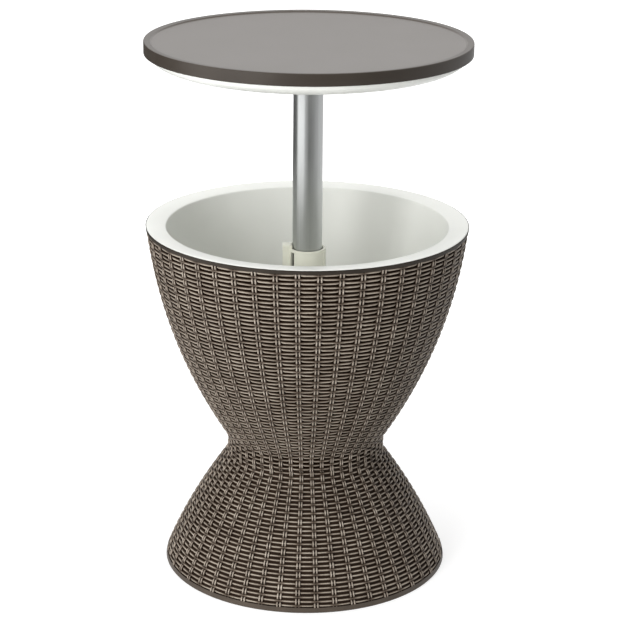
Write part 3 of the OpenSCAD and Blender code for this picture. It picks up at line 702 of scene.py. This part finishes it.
def linear(hex_colour):
    """Scene-linear colour of an sRGB hex value."""
    parts = [int(hex_colour[i:i + 2], 16) / 255 for i in (1, 3, 5)]
    return [v / 12.92 if v <= 0.04045 else ((v + 0.055) / 1.055) ** 2.4 for v in parts] + [1.0]


def add(tree, kind, links=None, stops=None, **settings):
    """Adds a node. A setting is a property or an input, a link feeds an input, stops fill a colour ramp."""
    node = tree.nodes.new(kind)
    for name, value in settings.items():
        if hasattr(node, name):
            setattr(node, name, value)
        else:
            node.inputs[name.replace("_", " ")].default_value = value
    for name, socket in (links or {}).items():
        tree.links.new(socket, node.inputs[name])
    for i, (position, colour) in enumerate(stops or []):
        elements = node.color_ramp.elements
        element = elements[i] if i < len(elements) else elements.new(position)
        element.position = position
        element.color = linear(colour)
    return node


def new_material(name, **settings):
    """A material with a principled shader, its node tree and the object's own coordinates."""
    material = bpy.data.materials.new(name)
    material.use_nodes = True
    tree = material.node_tree
    tree.nodes.clear()
    shader = add(tree, "ShaderNodeBsdfPrincipled", **settings)
    add(tree, "ShaderNodeOutputMaterial", {"Surface": shader.outputs["BSDF"]})
    place = add(tree, "ShaderNodeTexCoord").outputs["Object"]
    return material, tree, shader, place


def rattan_polypropylene(name, along_z, flank, shoulder, crown):
    """Polypropylene moulded as round rattan strands.

    Each strand is painted pale at its crest as a painted highlight and dark on its flanks and at its foot as
    painted shade, and fine grooves run along them."""
    material, tree, shader, place = new_material(name, IOR=1.49, Roughness=0.42, Specular_IOR_Level=0.22)
    # Painted light: how near each point lies to its strand's crest, lowered at crossings as painted shade
    crest = add(tree, "ShaderNodeAttribute", attribute_name="crest").outputs["Fac"]
    # Patches 25 mm wide, a little paler and darker
    patches = add(tree, "ShaderNodeTexNoise", {"Vector": place}, Scale=40.0, Detail=3.0).outputs["Fac"]
    swing = add(tree, "ShaderNodeMath", {0: patches}, operation="MULTIPLY_ADD")
    swing.inputs[1].default_value = 0.36
    swing.inputs[2].default_value = -0.18
    crest_light_and_tone = add(tree, "ShaderNodeMath", {0: crest, 1: swing.outputs[0]}, operation="ADD").outputs[0]
    # Painted shade at the strands' roots and flanks, and a painted highlight on the crowns; the patches are
    # the plastic's own tone
    colour = add(tree, "ShaderNodeValToRGB", {"Fac": crest_light_and_tone}, [
        (0.0, "#130A04"), (0.3, flank), (0.75, shoulder), (1.0, crown)])
    tree.links.new(colour.outputs["Color"], shader.inputs["Base Color"])
    # Grooves 0.8 mm apart, drawn out along the strand
    stretch = add(tree, "ShaderNodeMapping", {"Vector": place})
    stretch.inputs["Scale"].default_value = (1250.0, 1250.0, 60.0) if along_z else (60.0, 60.0, 1250.0)
    grooves = add(tree, "ShaderNodeTexNoise", {"Vector": stretch.outputs["Vector"]}, Scale=1.0, Detail=2.0)
    bump = add(tree, "ShaderNodeBump", {"Height": grooves.outputs["Fac"]}, Strength=0.3, Distance=0.0003)
    tree.links.new(bump.outputs["Normal"], shader.inputs["Normal"])
    return material


def shell_polypropylene(name, dark, light, roughness, specular):
    """The same polypropylene where it is plain, with a soft unevenness 25 mm wide.

    Its darker and paler copies stand for painted shade and painted light.
    """
    material, tree, shader, place = new_material(
        name, IOR=1.49, Roughness=roughness, Specular_IOR_Level=specular)
    tone = add(tree, "ShaderNodeTexNoise", {"Vector": place}, Scale=40.0, Detail=3.0).outputs["Fac"]
    colour = add(tree, "ShaderNodeValToRGB", {"Fac": tone}, [(0.3, dark), (0.7, light)])
    tree.links.new(colour.outputs["Color"], shader.inputs["Base Color"])
    return material


def grained_polypropylene(name, dark, light, roughness):
    """Polypropylene from a mould with a fine spark-eroded grain, which gives it a soft even sheen."""
    material, tree, shader, place = new_material(name, IOR=1.49, Roughness=roughness)
    tone = add(tree, "ShaderNodeTexNoise", {"Vector": place}, Scale=12.0, Detail=3.0).outputs["Fac"]
    colour = add(tree, "ShaderNodeValToRGB", {"Fac": tone}, [(0.3, dark), (0.7, light)])
    tree.links.new(colour.outputs["Color"], shader.inputs["Base Color"])
    # Grain 0.7 mm wide
    grain = add(tree, "ShaderNodeTexNoise", {"Vector": place}, Scale=1400.0, Detail=2.0).outputs["Fac"]
    bump = add(tree, "ShaderNodeBump", {"Height": grain}, Strength=0.2, Distance=0.0002)
    tree.links.new(bump.outputs["Normal"], shader.inputs["Normal"])
    return material


def gloss_plastic(name, dark, light, roughness, specular):
    """Smooth moulded plastic, semi-gloss, with the faint waves that cooling in the mould leaves."""
    material, tree, shader, place = new_material(
        name, IOR=1.5, Roughness=roughness, Specular_IOR_Level=specular)
    tone = add(tree, "ShaderNodeTexNoise", {"Vector": place}, Scale=9.0, Detail=2.0).outputs["Fac"]
    colour = add(tree, "ShaderNodeValToRGB", {"Fac": tone}, [(0.3, dark), (0.7, light)])
    tree.links.new(colour.outputs["Color"], shader.inputs["Base Color"])
    # Waves about 60 mm long
    waves = add(tree, "ShaderNodeTexNoise", {"Vector": place}, Scale=16.0, Detail=1.0).outputs["Fac"]
    bump = add(tree, "ShaderNodeBump", {"Height": waves}, Strength=0.05, Distance=0.001)
    tree.links.new(bump.outputs["Normal"], shader.inputs["Normal"])
    return material


def anodised_aluminium():
    """Drawn aluminium tube, satin anodised. Polish ran round it, so what it mirrors is smeared along it."""
    material, tree, shader, place = new_material(
        "anodised_aluminium", Metallic=1.0, Roughness=0.34, Anisotropic=0.8, Anisotropic_Rotation=0.25)
    around = add(tree, "ShaderNodeTangent", direction_type="RADIAL", axis="Z")
    tree.links.new(around.outputs["Tangent"], shader.inputs["Tangent"])
    stretch = add(tree, "ShaderNodeMapping", {"Vector": place})
    stretch.inputs["Scale"].default_value = (900.0, 900.0, 6.0)
    lines = add(tree, "ShaderNodeTexNoise", {"Vector": stretch.outputs["Vector"]}, Scale=1.0, Detail=2.0)
    colour = add(tree, "ShaderNodeValToRGB", {"Fac": lines.outputs["Fac"]}, [
        (0.2, "#C8CACA"), (0.8, "#D4D6D6")])
    tree.links.new(colour.outputs["Color"], shader.inputs["Base Color"])
    bump = add(tree, "ShaderNodeBump", {"Height": lines.outputs["Fac"]}, Strength=0.08, Distance=0.0002)
    tree.links.new(bump.outputs["Normal"], shader.inputs["Normal"])
    return material


def plain_finish(name, dark, light, roughness, grain, metallic=0.0):
    """A small fitting's finish, with a tone that varies over the grain's width in millimetres."""
    material, tree, shader, place = new_material(name, Metallic=metallic, Roughness=roughness)
    tone = add(tree, "ShaderNodeTexNoise", {"Vector": place}, Scale=1000.0 / grain, Detail=2.0).outputs["Fac"]
    colour = add(tree, "ShaderNodeValToRGB", {"Fac": tone}, [(0.3, dark), (0.7, light)])
    tree.links.new(colour.outputs["Color"], shader.inputs["Base Color"])
    bump = add(tree, "ShaderNodeBump", {"Height": tone}, Strength=0.15, Distance=0.0002)
    tree.links.new(bump.outputs["Normal"], shader.inputs["Normal"])
    return material


def paint(obj, *materials):
    """Gives an object its materials. All faces start with the first."""
    obj.data.materials.clear()
    for material in materials:
        obj.data.materials.append(material)


# The object

# The uprights are painted paler than the rounds as painted light, which upright strands catch from the side
# lamps
weft_finish = rattan_polypropylene("rattan_polypropylene_rounds", False, "#281B10", "#75695D", "#B1A799")
stake_finish = rattan_polypropylene("rattan_polypropylene_uprights", True, "#2C1F14", "#8B7F73", "#C5BBAE")
shell_finish = shell_polypropylene("shell_polypropylene", "#2A241D", "#312A23", 0.5, 0.3)
# The foot is painted paler than the edge of the bowl, as painted light thrown up from the floor
foot_lit_finish = shell_polypropylene("foot_painted_light_polypropylene", "#453C33", "#50463C", 0.5, 0.4)
# Behind the strands the moulding is dull, and painted dark as painted shade, darkest on the bowl, which
# faces down, and paler on the cone, which faces up
recess_shade_finish = shell_polypropylene("recess_painted_shade_polypropylene", "#150C05", "#1E130A", 0.9, 0.1)
cone_recess_shade_finish = shell_polypropylene("cone_recess_painted_shade_polypropylene", "#231810", "#2D2117", 0.8, 0.2)
tray_finish = grained_polypropylene("grained_polypropylene", "#433C35", "#47403A", 0.36)
# The same brown as the tray, painted darker as painted shade, with a coarser grain
band_finish = grained_polypropylene("band_polypropylene", "#342D26", "#3B342D", 0.42)
white_finish = gloss_plastic("white_polypropylene", "#E7E8E3", "#EDEEE9", 0.32, 0.36)
cream_finish = gloss_plastic("cream_acetal", "#E8E8D8", "#F0F0E1", 0.34, 0.5)
pole_finish = anodised_aluminium()
black_finish = plain_finish("black_acetal", "#1C1B18", "#262420", 0.45, 2.0)
nylon_finish = plain_finish("natural_nylon", "#C6C6BE", "#D0D0C8", 0.5, 3.0)
rubber_finish = plain_finish("black_rubber", "#171717", "#222222", 0.7, 1.0)
zinc_finish = plain_finish("zinc_plated_steel", "#A9A9A6", "#BDBDBA", 0.35, 1.5, 1.0)

cad_finishes = {
    "wicker_brown": band_finish,
    "table_brown": band_finish,
    "tub_white": white_finish,
    "column_cream": cream_finish,
    "pole_aluminium": pole_finish,
    "guide_black": black_finish,
    "fitting_nylon": nylon_finish,
    "seal_rubber": rubber_finish,
    "screw_steel": zinc_finish,
}
for part in frame["record"]["subparts"]:
    paint(frame["nodes"][part["node"]], cad_finishes[part["material_slot"]])


def fit(obj, slot, body, *nodes):
    """Hides the CAD nodes that a piece stands for and lets it ride with its body; its slot is not used."""
    if nodes:
        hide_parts(*nodes)
    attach(obj, body)


bowl_ground, *bowl_strands = bowl_pieces()
fit(bowl_ground, "wicker_brown", "base", "body_shell")
base_ground, *base_strands = base_pieces()
fit(base_ground, "wicker_brown", "base", "base_shell")
for strand in bowl_strands + base_strands:
    paint(strand, stake_finish if "stakes" in strand.name else weft_finish)
    fit(strand, "wicker_brown", "base")

for moulding, finish, slot, body, node in [
    (tub(), white_finish, "tub_white", "base", "cooler_tub"),
    (column_sleeve(), cream_finish, "column_cream", "base", "column_sleeve"),
    (column_cap(), cream_finish, "column_cream", "base", "column_cap"),
    (drain_plug(), cream_finish, "column_cream", "plug", "drain_plug"),
    (pole(), pole_finish, "pole_aluminium", "table", "pole"),
    (table_underside(), white_finish, "tub_white", "table", "table_underside"),
]:
    paint(moulding, finish)
    fit(moulding, slot, body, node)
fit(table_top(), "table_brown", "table", "table_top")


# The studio


def make_camera():
    """The photograph's view: a long lens from the front, a little above the table."""
    frame_width = 36.0
    focal_pixels = 2040.4
    picture_pixels = 620
    camera = bpy.data.cameras.new("camera")
    camera.sensor_width = frame_width
    camera.lens = focal_pixels / picture_pixels * frame_width
    camera.clip_end = 100.0
    obj = bpy.data.objects.new("camera", camera)
    pitch = 0.32556
    roll = math.radians(0.5)
    stand = Vector((0.0052, -3.0224, 1.4325))
    turn = Matrix.Rotation(math.pi / 2 - pitch, 4, "X") @ Matrix.Rotation(roll, 4, "Z")
    obj.matrix_world = Matrix.Translation(stand) @ turn
    bpy.context.scene.collection.objects.link(obj)
    bpy.context.scene.camera = obj


def softbox(name, place, aim, width, height, power):
    """A rectangular lamp that points at a spot. Gloss sees the cards round the set instead of it."""
    lamp = bpy.data.lights.new(name, "AREA")
    lamp.shape = "RECTANGLE"
    lamp.size = width
    lamp.size_y = height
    lamp.energy = power
    obj = bpy.data.objects.new(name, lamp)
    obj.location = place
    obj.rotation_euler = (Vector(aim) - Vector(place)).to_track_quat("-Z", "Y").to_euler()
    obj.visible_camera = False
    obj.visible_glossy = False
    bpy.context.scene.collection.objects.link(obj)


def card(name, distance, low, high, start, end, glow):
    """A curved card that only gloss sees, between two levels and two angles from the front."""
    points = 13
    turn = np.radians(np.linspace(start, end, points))
    ring = [(distance * math.sin(a), -distance * math.cos(a)) for a in turn]
    verts = [(x, y, z) for z in (low, high) for x, y in ring]
    faces = [(i, i + 1, i + 1 + points, i + points) for i in range(points - 1)]
    mesh = bpy.data.meshes.new(name)
    mesh.from_pydata(verts, [], faces)
    obj = bpy.data.objects.new(name, mesh)
    obj.visible_camera = False
    obj.visible_diffuse = False
    obj.visible_shadow = False
    bpy.context.scene.collection.objects.link(obj)
    material = bpy.data.materials.new(name)
    material.use_nodes = True
    tree = material.node_tree
    tree.nodes.clear()
    shine = add(tree, "ShaderNodeEmission", Strength=glow)
    add(tree, "ShaderNodeOutputMaterial", {"Surface": shine.outputs["Emission"]})
    mesh.materials.append(material)


def seen_directly(tree):
    """1 for rays that show the background itself: from the camera, in a mirror or through glass."""
    path = add(tree, "ShaderNodeLightPath")
    first = add(tree, "ShaderNodeMath", {0: path.outputs["Is Camera Ray"], 1: path.outputs["Is Glossy Ray"]},
                operation="MAXIMUM")
    return add(tree, "ShaderNodeMath", {0: first.outputs[0], 1: path.outputs["Is Transmission Ray"]},
               operation="MAXIMUM").outputs[0]


def make_floor():
    """A white floor that keeps the object's shadow."""
    half = 6.0
    corners = [(-half, -half, 0), (half, -half, 0), (half, half, 0), (-half, half, 0)]
    mesh = bpy.data.meshes.new("floor")
    mesh.from_pydata(corners, [], [(0, 1, 2, 3)])
    floor = bpy.data.objects.new("floor", mesh)
    bpy.context.scene.collection.objects.link(floor)
    material, tree, shader, place = new_material("white_paper", Roughness=0.9)
    shader.inputs["Base Color"].default_value = linear("#C8C8C8")
    # Paper white far from the object, where little of the lamps' light gets to
    away = add(tree, "ShaderNodeVectorMath", {0: place}, operation="LENGTH").outputs["Value"]
    fade = add(tree, "ShaderNodeMapRange", {"Value": away},
               From_Min=0.6, From_Max=2.0, To_Min=0.54, To_Max=1.0)
    glow = add(tree, "ShaderNodeEmission", {"Strength": fade.outputs["Result"]})
    both = add(tree, "ShaderNodeAddShader", {0: shader.outputs["BSDF"], 1: glow.outputs["Emission"]})
    choose = add(tree, "ShaderNodeMixShader", {
        "Fac": seen_directly(tree), 1: shader.outputs["BSDF"], 2: both.outputs["Shader"]})
    output = next(n for n in tree.nodes if n.type == "OUTPUT_MATERIAL")
    tree.links.new(choose.outputs["Shader"], output.inputs["Surface"])
    mesh.materials.append(material)


def make_world():
    """White behind the object, and a softer light on it from all round."""
    world = bpy.data.worlds.new("studio")
    bpy.context.scene.world = world
    world.use_nodes = True
    tree = world.node_tree
    tree.nodes.clear()
    soft = add(tree, "ShaderNodeBackground", Color=linear("#FFFFFF"), Strength=0.58)
    white = add(tree, "ShaderNodeBackground", Color=linear("#FFFFFF"), Strength=1.0)
    choose = add(tree, "ShaderNodeMixShader", {
        "Fac": seen_directly(tree), 1: soft.outputs["Background"], 2: white.outputs["Background"]})
    add(tree, "ShaderNodeOutputWorld", {"Surface": choose.outputs["Shader"]})


make_camera()
make_floor()
make_world()
softbox("key_left", (-1.8, -2.7, 1.2), (0, 0, 0.4), width=1.4, height=2.0, power=82)
softbox("overhead", (-0.1, 0.2, 3.0), (0, 0, 0.5), width=2.2, height=2.2, power=52)

# Cards round the set in two rows, with their distance from the axis and the levels where the rows meet and
# end, in metres. Each has the angles in degrees at which it starts and ends, and its glow.
CARD_DISTANCE = 1.3
CARD_SPLIT = 0.38
CARD_TOP = 1.4
LOW_CARDS = [
    (-185, -115, 0.12), (-115, -86, 0.3), (-86, -26, 1.0), (-26, -4, 0.62), (-4, 22, 0.3),
    (22, 50, 0.42), (50, 80, 0.6), (80, 105, 0.75), (105, 150, 0.8)]
HIGH_CARDS = [
    (-155, -86, 0.12), (-86, -26, 1.6), (-26, -4, 0.5), (-4, 26, 0.12), (26, 50, 0.2),
    (50, 80, 0.4), (80, 150, 0.65)]
# Low ones give the pole its dark and bright bands
for start, end, glow in LOW_CARDS:
    card("card_low", CARD_DISTANCE, 0.0, CARD_SPLIT, start, end, glow)
# The ones above them do so for the table's band, whose front mirrors a dark room
for start, end, glow in HIGH_CARDS:
    card("card_high", CARD_DISTANCE, CARD_SPLIT, CARD_TOP, start, end, glow)
# A high one behind gives the tray its sheen
card("card_back", distance=4.0, low=1.6, high=2.9, start=160, end=200, glow=1.5)

bpy.context.scene.view_settings.view_transform = "Standard"
